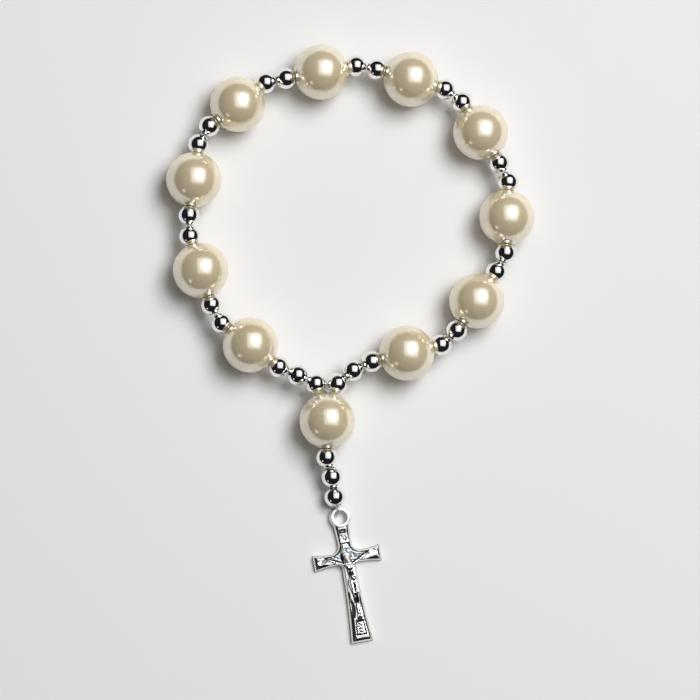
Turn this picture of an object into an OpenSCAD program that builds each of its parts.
// Stretch rosary bracelet: pearls and silver balls on a clear elastic, with a cast crucifix on a short stem.
// It lies flat. +Z is up, +Y points away from the crucifix, and the origin is the middle of the wrist
// opening, on the surface that the pearls rest on.

/* [Pearls] */
// Diameter of a pearl
pearl_d = 10; // [9:0.1:11.5]
// Depth that a silver ball sinks into the ground mouth of a pearl's bore
mouth_depth = 0.55; // [0.4:0.05:0.7]

/* [Silver balls] */
// Diameter of a silver ball
silver_d = 3.8; // [3.5:0.1:4.4]

/* [Elastic] */
// Diameter of the clear elastic strand
strand_d = 0.4; // [0.3:0.02:0.44]
// Room between the elastic and the bore that it runs through
bore_room = 0.26; // [0.2:0.01:0.3]
// Room between the two runs of elastic in the stem
run_room = 0.1; // [0.1:0.01:0.15]
// Room between two neighbouring beads of the loop
bead_gap = 0.11; // [0.1:0.01:0.2]
// Room between two neighbouring beads of the stem, which is strung looser
stem_gap = 0.13; // [0.12:0.01:0.4]

/* [Crucifix outline] */
// Length from the middle of the eye to the foot
cross_l = 22.8; // [21:0.1:26]
// Distance from the middle of the eye to the middle of the arms
arm_drop = 7.35; // [7:0.05:8]
// Span of the arms
cross_span = 12.4; // [11.5:0.1:15]
// Width of the shaft beside the crossing
shaft_w = 2.6; // [2.4:0.05:3]
// Width of the foot
foot_w = 4.1; // [3.6:0.1:5]
// Width of the shaft below the eye
neck_w = 3.05; // [2.7:0.05:3.4]
// Width of an arm beside the crossing
arm_w = 2.2; // [2:0.05:2.6]
// Width of an arm at its end
arm_end_w = 3.05; // [2.7:0.05:3.6]
// Radius of the two corners above the arms
upper_fillet = 1.5; // [1:0.1:1.8]
// Radius of the two corners below the arms
lower_fillet = 0.5; // [0.3:0.1:1]

/* [Crucifix casting] */
// Thickness of the casting at its flat face
cross_t = 1.5; // [1.3:0.05:2]
// Height of the steep edge below the bevel
edge_h = 1.15; // [1:0.05:1.2]
// Distance that the steep edge leans in on its way up
edge_lean = 0.25; // [0.15:0.05:0.35]
// Width of the bevel between the edge and the face
bevel_w = 0.4; // [0.3:0.05:0.5]
// Depth of the sunk field behind the head and of the small panels
field_depth = 0.35; // [0.2:0.05:0.45]
// Width of the raised border round the sunk field
border_w = 0.3; // [0.25:0.05:0.4]
// Height of the figure above the sunk field
figure_h = 0.95; // [0.8:0.05:1.2]

/* [Crucifix eye] */
// Outer diameter of the eye
eye_d = 3.9; // [3.6:0.1:4.4]
// Diameter of the hole in the eye
eye_hole_d = 2.5; // [2.3:0.1:2.8]
// Thickness of the eye
eye_t = 1; // [0.9:0.05:1.3]

/* [Hidden] */
// Kinds of bead
P = "pearl";
S = "silver";

// The route of the string, chosen by hand: headings in degrees, from the left of the fork round the loop to
// its right. First the links of the left run, then for each pearl its axis and the heading of the link
// between the two balls that follow it, then the links of the right run.
string_route = [
    [154, 156],
    [142, 119], [107, 92], [82, 60], [38, 12], [11, -9], [-16, -37], [-59, -65], [-93, -117], [-125, -138], [-167],
    [-156, -140]];
// The route of the stem: heading and fall of the link that leads to each of its balls, in degrees
stem_links = [[-91, 5], [-74, 14], [-81, 18]];
// Heading and fall of the way from the stem's last ball to the eye, and the turn of the crucifix, in degrees
eye_heading = -75;
eye_fall = 30;
cross_turn = 9.9;

pearl_count = len(string_route) - 2;
run_count = len(string_route[0]) + 1;
stem_count = len(stem_links);
ring_kinds = concat(
    [for (i = [1:run_count]) S],
    [for (i = [1:pearl_count]) each i < pearl_count ? [P, S, S] : [P]],
    [for (i = [1:run_count]) S]);
ring_count = len(ring_kinds);

bore_d = 2 * strand_d + run_room + 2 * bore_room;
silver_r = silver_d / 2;
pearl_r = pearl_d / 2;
// Half the length of a silver ball between the rims of its bore
silver_rim = sqrt(silver_r * silver_r - bore_d * bore_d / 4);
// Distance from a pearl's middle to the middle of the ball that sits in its mouth
seat_reach = pearl_r - mouth_depth + bead_gap + silver_r;
run_offset = (strand_d + run_room) / 2;

pearl_sides = 96;
silver_sides = 64;
bore_sides = 48;
eye_sides = 64;
flare_steps = 6;
fillet_steps = 5;
overcut = 1;

function heading_ray(a) = [cos(a), sin(a)];
function space_ray(heading, fall) = [cos(heading) * cos(fall), sin(heading) * cos(fall), -sin(fall)];
function unit(v) = v / norm(v);
function at_height(p, z) = [p[0], p[1], z];
function sum(v, i = 0) = i == len(v) - 1 ? v[i] : v[i] + sum(v, i + 1);
// A bead's number among those of its own kind
function rank(i) = len([for (k = [0:i]) if (ring_kinds[k] == ring_kinds[i]) k]);
function ring_name(i) = str(ring_kinds[i], "_", rank(i));

// Reach of a silver ball along the string, where its bore is turned away from the string
function silver_reach(turn) = silver_rim * cos(turn) + bore_d / 2 * abs(sin(turn));
// Heading of each link of the loop: the string runs straight through a pearl and bends at the balls
link_headings = concat(
    string_route[0],
    [for (i = [1:pearl_count]) each concat([string_route[i][0]], string_route[i])],
    string_route[pearl_count + 1]);
link_count = len(link_headings);
// Axis of each bead of the loop: between its two links, and nearer to the one that leads to a pearl
function hold(i) = ring_kinds[i] == P ? 2 : 1;
function axis_of(h, i) =
    i == 0 ? h[0] : i == link_count ? h[link_count - 1] :
    (hold(i - 1) * h[i - 1] + hold(i + 1) * h[i]) / (hold(i - 1) + hold(i + 1));
function link_length(h, i) =
    ring_kinds[i] == S && ring_kinds[i + 1] == S
        ? silver_reach(axis_of(h, i) - h[i]) + silver_reach(axis_of(h, i + 1) - h[i]) + bead_gap
        : seat_reach;
// The two balls at the fork stand side by side, so the links have to end one ball's width from their start
fork_w = silver_d + bead_gap;
// Each round turns every link as little as it takes to close the loop on the fork
function closed(h, rounds) =
    rounds <= 0 ? h :
    let (
        l = [for (i = [0:link_count - 1]) link_length(h, i)],
        miss = sum([for (i = [0:link_count - 1]) l[i] * heading_ray(h[i])]) - [fork_w, 0],
        xx = sum([for (i = [0:link_count - 1]) l[i] * pow(sin(h[i]), 2)]),
        xy = sum([for (i = [0:link_count - 1]) -l[i] * sin(h[i]) * cos(h[i])]),
        yy = sum([for (i = [0:link_count - 1]) l[i] * pow(cos(h[i]), 2)]),
        area = xx * yy - xy * xy,
        pull = [xy * miss[1] - yy * miss[0], xy * miss[0] - xx * miss[1]] / area)
    closed([for (a = h) a + (pull * [-sin(a), cos(a)]) * 180 / PI], rounds - 1);
closing_rounds = 8;
loop_headings = closed(link_headings, closing_rounds);
// Places of the loop's beads, from the fork's left ball
raw_points = [for (i = 0, p = [0, 0]; i < ring_count;
    p = i < link_count ? p + link_length(loop_headings, i) * heading_ray(loop_headings[i]) : p,
    i = i + 1) p];
loop_middle = [for (k = [0, 1])
    (max([for (p = raw_points) p[k]]) + min([for (p = raw_points) p[k]])) / 2];
ring_points = [for (p = raw_points) at_height(p - loop_middle, pearl_r)];
ring_axes = [for (i = [0:ring_count - 1]) space_ray(axis_of(loop_headings, i), 0)];

// The stem's pearl touches neither of the two balls at the fork
fork_reach = sqrt(pow(pearl_r + silver_r + bead_gap, 2) - pow(fork_w / 2, 2));
stem_pearl_point = (ring_points[0] + ring_points[ring_count - 1]) / 2 - [0, fork_reach, 0];
stem_rays = [for (l = stem_links) space_ray(l[0], l[1])];
last_ray = space_ray(eye_heading, eye_fall);
stem_axes = [for (i = [0:stem_count - 1])
    unit((i == 0 ? 2 : 1) * stem_rays[i] + (i + 1 < stem_count ? stem_rays[i + 1] : last_ray))];
function turn_between(u, v) = acos(min(1, u * v));
stem_lengths = [for (i = [0:stem_count - 1])
    i == 0 ? seat_reach - bead_gap + stem_gap
        : silver_reach(turn_between(stem_axes[i - 1], stem_rays[i]))
            + silver_reach(turn_between(stem_axes[i], stem_rays[i])) + stem_gap];
stem_points = [for (i = 0, p = stem_pearl_point + stem_lengths[0] * stem_rays[0]; i < stem_count;
    p = i + 1 < stem_count ? p + stem_lengths[i + 1] * stem_rays[i + 1] : p, i = i + 1) p];
last_ball = stem_points[stem_count - 1];

// The eye stands on a lower run of elastic that passes behind its wall
eye_wall = (eye_d - eye_hole_d) / 2;
eye_lift = strand_d + 2.5 * run_room;
eye_z = eye_lift + eye_t / 2;
// Distance from the last ball to the eye: the lower run goes down between the ball and the eye's wall
eye_reach = eye_d / 2 + silver_rim + strand_d / 2;
eye_point = at_height(last_ball + eye_reach * space_ray(eye_heading, 0), 0);

module place(point, axis) {
    translate(point)
        rotate([0, 90 - asin(axis[2]), atan2(axis[1], axis[0])])
            children();
}

module pearl() {
    color("ivory")
        difference() {
            sphere(d = pearl_d, $fn = pearl_sides);
            cylinder(d = bore_d, h = 2 * pearl_d, center = true, $fn = bore_sides);
            for (side = [-1, 1])
                translate([0, 0, side * seat_reach])
                    sphere(r = silver_r + bead_gap, $fn = silver_sides);
        }
}

module silver() {
    color("silver")
        difference() {
            sphere(d = silver_d, $fn = silver_sides);
            cylinder(d = bore_d, h = 2 * silver_d, center = true, $fn = bore_sides);
        }
}

module ring_bead(i) {
    place(ring_points[i], ring_axes[i]) {
        if (ring_kinds[i] == P) pearl();
        if (ring_kinds[i] == S) silver();
    }
}

module stem_pearl() {
    place(stem_pearl_point, stem_rays[0]) pearl();
}

module stem_silver(i) {
    place(stem_points[i], stem_axes[i]) silver();
}

// The elastic runs through the middle of each pearl,
// and along the axis of each ball until just inside its rims
silver_hold = silver_rim * 0.8;
function through(point, axis) = [point - silver_hold * axis, point + silver_hold * axis];
ring_run = [for (i = [0:ring_count - 1])
    each ring_kinds[i] == P ? [ring_points[i]] : through(ring_points[i], ring_axes[i])];
up = [0, 0, 1];
// One run down the stem, above the middle of the bores for side = 1 and below it for side = -1
function run_lift(axis, side) = side * run_offset * unit(up - (up * axis) * axis);
stem_hold = silver_rim * 0.9;
function stem_run(side) = [for (i = [0:stem_count - 1])
    for (along = [-stem_hold, i < stem_count - 1 ? stem_hold : silver_rim])
        stem_points[i] + along * stem_axes[i] + run_lift(stem_axes[i], side)];
function reversed(v) = [for (i = [len(v) - 1:-1:0]) v[i]];
// A smooth way from one point and direction to another, without its ends
function bend(a, u, b, v, steps) =
    let (reach = norm(b - a) / 2.2)
    [for (k = [1:steps])
        let (t = k / (steps + 1), s = 1 - t)
        s * s * s * a + 3 * s * s * t * (a + reach * u) + 3 * s * t * t * (b - reach * v) + t * t * t * b];
// From a ball at the fork into the stem pearl's bore
fork_steps = 3;
function fork_run(ball, axis, side) =
    let (
        start = ball + axis * silver_hold,
        lift = run_lift(stem_rays[0], side),
        goal = stem_pearl_point - stem_rays[0] * (pearl_r - mouth_depth) + lift)
    concat(bend(start, axis, goal, stem_rays[0], fork_steps), [goal]);
// Round the near wall of the eye: under it, up through the hole and back over it
to_eye = space_ray(eye_heading, 0);
eye_wall_point = at_height(eye_point, eye_z) - to_eye * (eye_hole_d + eye_wall) / 2;
loop_out = eye_wall / 2 + strand_d / 2 + 3 * run_room;
loop_up = eye_t / 2 + strand_d / 2 + 2 * run_room;
eye_turns = [-140, -90, -60, -20, 20, 60, 90];
eye_run = [for (a = eye_turns) eye_wall_point + to_eye * loop_out * cos(a) + up * loop_up * sin(a)];
knot_room = pearl_d * 0.1;
strand_route = concat(
    [stem_pearl_point + run_lift(stem_rays[0], 1)],
    reversed(fork_run(ring_points[0], -ring_axes[0], 1)),
    ring_run,
    fork_run(ring_points[ring_count - 1], ring_axes[ring_count - 1], -1),
    [stem_pearl_point + run_lift(stem_rays[0], -1)],
    stem_run(-1),
    eye_run,
    reversed(stem_run(1)),
    [stem_pearl_point + stem_rays[0] * knot_room + run_lift(stem_rays[0], 1)]);

// A tube along the route, whose rings are carried from point to point without a twist
function direction(route, i) =
    unit(route[min(i + 1, len(route) - 1)] - route[max(i - 1, 0)]);
function carried(v, t) = unit(v - (v * t) * t);
strand_sides = 8;
module tube(route, d, sides) {
    frames = [for (i = 0, v = carried(up, direction(route, 0)); i < len(route);
        i = i + 1, v = i < len(route) ? carried(v, direction(route, i)) : v) v];
    rings = [for (i = [0:len(route) - 1])
        let (t = direction(route, i), v = frames[i], w = cross(t, v))
        for (k = [0:sides - 1]) route[i] + d / 2 * (cos(360 * k / sides) * v + sin(360 * k / sides) * w)];
    last = (len(route) - 1) * sides;
    walls = [for (i = [0:len(route) - 2], k = [0:sides - 1])
        let (a = i * sides + k, b = i * sides + (k + 1) % sides)
        each [[a, a + sides, b], [b, a + sides, b + sides]]];
    caps = [[for (k = [0:sides - 1]) k], [for (k = [sides - 1:-1:0]) last + k]];
    polyhedron(rings, concat(walls, caps));
}

module elastic() {
    color("gainsboro") tube(strand_route, strand_d, strand_sides);
}

// The crucifix is drawn with its crossing at the origin, its back on the surface and its eye towards +Y
foot_y = cross_l - arm_drop;
// The neck's two corners end inside the wall of the eye
neck_y = arm_drop - sqrt(pow(eye_d - eye_wall / 2, 2) - neck_w * neck_w) / 2;
function flare(from, to, t) = (from + (to - from) * t * t) / 2;
function share(v, from, to) = (v - from) / (to - from);
function arc(x, y, r, from, to) = [for (k = [0:fillet_steps])
    let (a = from + (to - from) * k / fillet_steps) [x + r * cos(a), y + r * sin(a)]];
// The right half of the outline, from the foot to the neck, drawn in by an even inset
function half_outline(inset) =
    let (
        low = arm_w / 2 + lower_fillet,
        high = arm_w / 2 + upper_fillet,
        side = shaft_w / 2 - inset,
        low_x = shaft_w / 2 + lower_fillet,
        high_x = shaft_w / 2 + upper_fillet,
        tip = cross_span / 2)
    concat(
        [for (k = [flare_steps:-1:1])
            let (t = k / flare_steps)
            [flare(shaft_w, foot_w, t) - inset,
            k == flare_steps ? inset - foot_y : -low - (foot_y - low) * t]],
        arc(low_x, -low, lower_fillet + inset, 180, 90),
        [for (k = [1:flare_steps])
            let (t = k / flare_steps)
            [k == flare_steps ? tip - inset : low_x + (tip - low_x) * t,
            inset - flare(arm_w, arm_end_w, t)]],
        [for (k = [flare_steps:-1:1])
            let (t = k / flare_steps)
            [k == flare_steps ? tip - inset : high_x + (tip - high_x) * t,
            flare(arm_w, arm_end_w, t) - inset]],
        arc(high_x, high, upper_fillet + inset, 270, 180),
        [for (k = [1:flare_steps])
            let (t = k / flare_steps)
            [flare(shaft_w, neck_w, t) - inset, high + (neck_y - high) * t]]);
function outline(inset) =
    let (right = half_outline(inset))
    concat(right, [for (p = reversed(right)) [-p[0], p[1]]]);

module casting() {
    levels = [[0, 0], [edge_lean, edge_h], [edge_lean + bevel_w, cross_t]];
    count = len(outline(0));
    points = [for (l = levels) for (p = outline(l[0])) [p[0], p[1], l[1]]];
    walls = [for (i = [0:len(levels) - 2], k = [0:count - 1])
        let (a = i * count + k, b = i * count + (k + 1) % count)
        each [[a, a + count, b], [b, a + count, b + count]]];
    // The flat faces are cut into strips that run from side to side: across the shaft, and across each arm
    low = flare_steps;
    high = count / 2 - 1 - low;
    strips = concat(
        [for (k = [0:low - 1]) [k, k + 1, count - 2 - k, count - 1 - k]],
        [[low, high, count - 1 - high, count - 1 - low]],
        [for (k = [high:low + high - 1]) [k, k + 1, count - 2 - k, count - 1 - k]],
        [for (k = [low:(low + high - 1) / 2 - 1]) each [
            [k, k + 1, low + high - k - 1, low + high - k],
            [count - 1 - low - high + k, count - low - high + k, count - 2 - k, count - 1 - k]]]);
    top = (len(levels) - 1) * count;
    polyhedron(points, concat(walls, strips, [for (f = strips) [for (v = reversed(f)) top + v]]));
}

figure_l = foot_y * 0.75;
figure_w = shaft_w * 0.85;
arm_reach = cross_span * 0.31;

// The sunk field behind the head: the face's own edge above, drawn in by the border, and the figure's
// arms below
field_tip = [cross_span * 0.31, arm_w * 0.28];
field_neck_w = shaft_w * 0.42;
field_top = arm_w / 2 + upper_fillet * 1.1;
arm_pit = [figure_w * 0.5, -arm_w * 0.33];
field_inset = edge_lean + border_w;
// Start and end of the field's curved edge, in degrees
field_arc = [262, 205];
module field() {
    right = concat(
        [[arm_pit[0], arm_pit[1]], field_tip],
        arc(shaft_w / 2 + upper_fillet, arm_w / 2 + upper_fillet, upper_fillet + field_inset,
            field_arc[0], field_arc[1]),
        [[field_neck_w / 2, field_top]]);
    polygon(concat(right, [for (p = reversed(right)) [-p[0], p[1]]]));
}

// Small panels below the eye and above the foot
panel_w = neck_w * 0.4;
panel_h = neck_w * 0.25;
panel_y = arm_drop - eye_d / 2 - panel_h * 0.8;
tablet_h = foot_w * 0.6;
tablet_y = foot_y * 0.845;
tablet_w = foot_w * 0.48;
groove_w = border_w * 0.8;
module tapered(w, h, taper) {
    polygon([[-w / 2, -h / 2], [w / 2, -h / 2], [w / 2 - taper, h / 2], [taper - w / 2, h / 2]]);
}

module panels() {
    translate([0, 0, cross_t - field_depth])
        linear_extrude(field_depth + overcut) {
            field();
            translate([0, panel_y]) square([panel_w, panel_h], center = true);
            translate([0, -tablet_y]) difference() {
                tapered(tablet_w + groove_w, tablet_h + groove_w, tablet_w * 0.1);
                tapered(tablet_w - groove_w, tablet_h - groove_w, tablet_w * 0.1);
            }
        }
}

// A raised form with a half-round back, laid along -Y. Each row gives a section: how far along, how far
// across, half its width and its height, as shares of the form's length, width and height
ridge_steps = 6;
ridge_root = cross_t / 6;
module ridge(rows, l, w, h) {
    count = ridge_steps + 3;
    points = [for (r = rows)
        each concat(
            [[r[1] * w - r[2] * w, -r[0] * l, -ridge_root], [r[1] * w + r[2] * w, -r[0] * l, -ridge_root]],
            [for (k = [0:ridge_steps])
                let (a = 180 * k / ridge_steps)
                [r[1] * w + r[2] * w * cos(a), -r[0] * l, r[3] * h * sin(a)]])];
    walls = [for (i = [0:len(rows) - 2], k = [0:count - 1])
        let (a = i * count + k, b = i * count + (k + 1) % count)
        each [[a, a + count, b], [b, a + count, b + count]]];
    last = (len(rows) - 1) * count;
    polyhedron(points, concat(walls,
        [[for (k = [0:count - 1]) k], [for (k = [count - 1:-1:0]) last + k]]));
}

// Rows: along, across, half width, height
torso = [
    [0.00, 0, 0.16, 0.45],
    [0.05, 0, 0.46, 0.70],
    [0.12, 0, 0.44, 0.95],
    [0.22, 0, 0.28, 0.70],
    [0.28, 0, 0.38, 0.85],
    [0.38, 0, 0.40, 0.75]];
leg = [
    [0.32, 0.17, 0.18, 0.70],
    [0.46, 0.15, 0.19, 0.95],
    [0.58, 0.12, 0.14, 0.80],
    [0.68, 0.09, 0.13, 0.60],
    [0.80, 0.07, 0.09, 0.45],
    [0.90, 0.07, 0.12, 0.55]];
limb = [
    [0.00, 0, 0.50, 0.60],
    [0.35, 0, 0.42, 0.65],
    [0.75, 0, 0.32, 0.55],
    [1.00, 0, 0.38, 0.50]];
module figure() {
    shoulder_y = -arm_w * 0.3;
    head_r = figure_w * 0.36;
    translate([0, shoulder_y, 0]) {
        ridge(torso, figure_l, figure_w, figure_h);
        for (side = [-1, 1])
            mirror([side < 0 ? 1 : 0, 0, 0]) {
                ridge(leg, figure_l, figure_w, figure_h);
                translate([figure_w * 0.28, -figure_w * 0.06, 0])
                    rotate([0, 0, 90 + atan2(arm_w * 0.42, arm_reach)])
                        ridge(limb, arm_reach, figure_w * 0.42, figure_h);
            }
        translate([0, head_r * 0.95, figure_h * 0.35]) sphere(r = head_r, $fn = 32);
    }
    translate([0, shoulder_y - figure_l * 0.93, 0])
        linear_extrude(figure_h * 0.4, center = true)
            tapered(figure_w * 0.6, figure_l * 0.06, figure_w * 0.05);
}

module eye_ring() {
    chamfer = eye_wall * 0.3;
    inner = eye_hole_d / 2;
    outer = eye_d / 2;
    translate([0, arm_drop, eye_lift])
        rotate_extrude($fn = eye_sides)
            polygon([
                [inner + chamfer, 0], [outer - chamfer, 0], [outer, chamfer], [outer, eye_t - chamfer],
                [outer - chamfer, eye_t], [inner + chamfer, eye_t], [inner, eye_t - chamfer],
                [inner, chamfer]]);
}

module crucifix() {
    color("darkgray")
        translate(eye_point)
            rotate([0, 0, cross_turn])
                translate([0, -arm_drop, 0]) {
                    difference() {
                        casting();
                        panels();
                        translate([0, arm_drop, -overcut])
                            cylinder(d = eye_hole_d + eye_wall, h = cross_t + 2 * overcut, $fn = eye_sides);
                    }
                    eye_ring();
                    translate([0, 0, cross_t - field_depth]) figure();
                }
}

for (i = [0:ring_count - 1])
    ring_bead(i);
stem_pearl();
for (i = [0:stem_count - 1])
    stem_silver(i);
elastic();
crucifix();
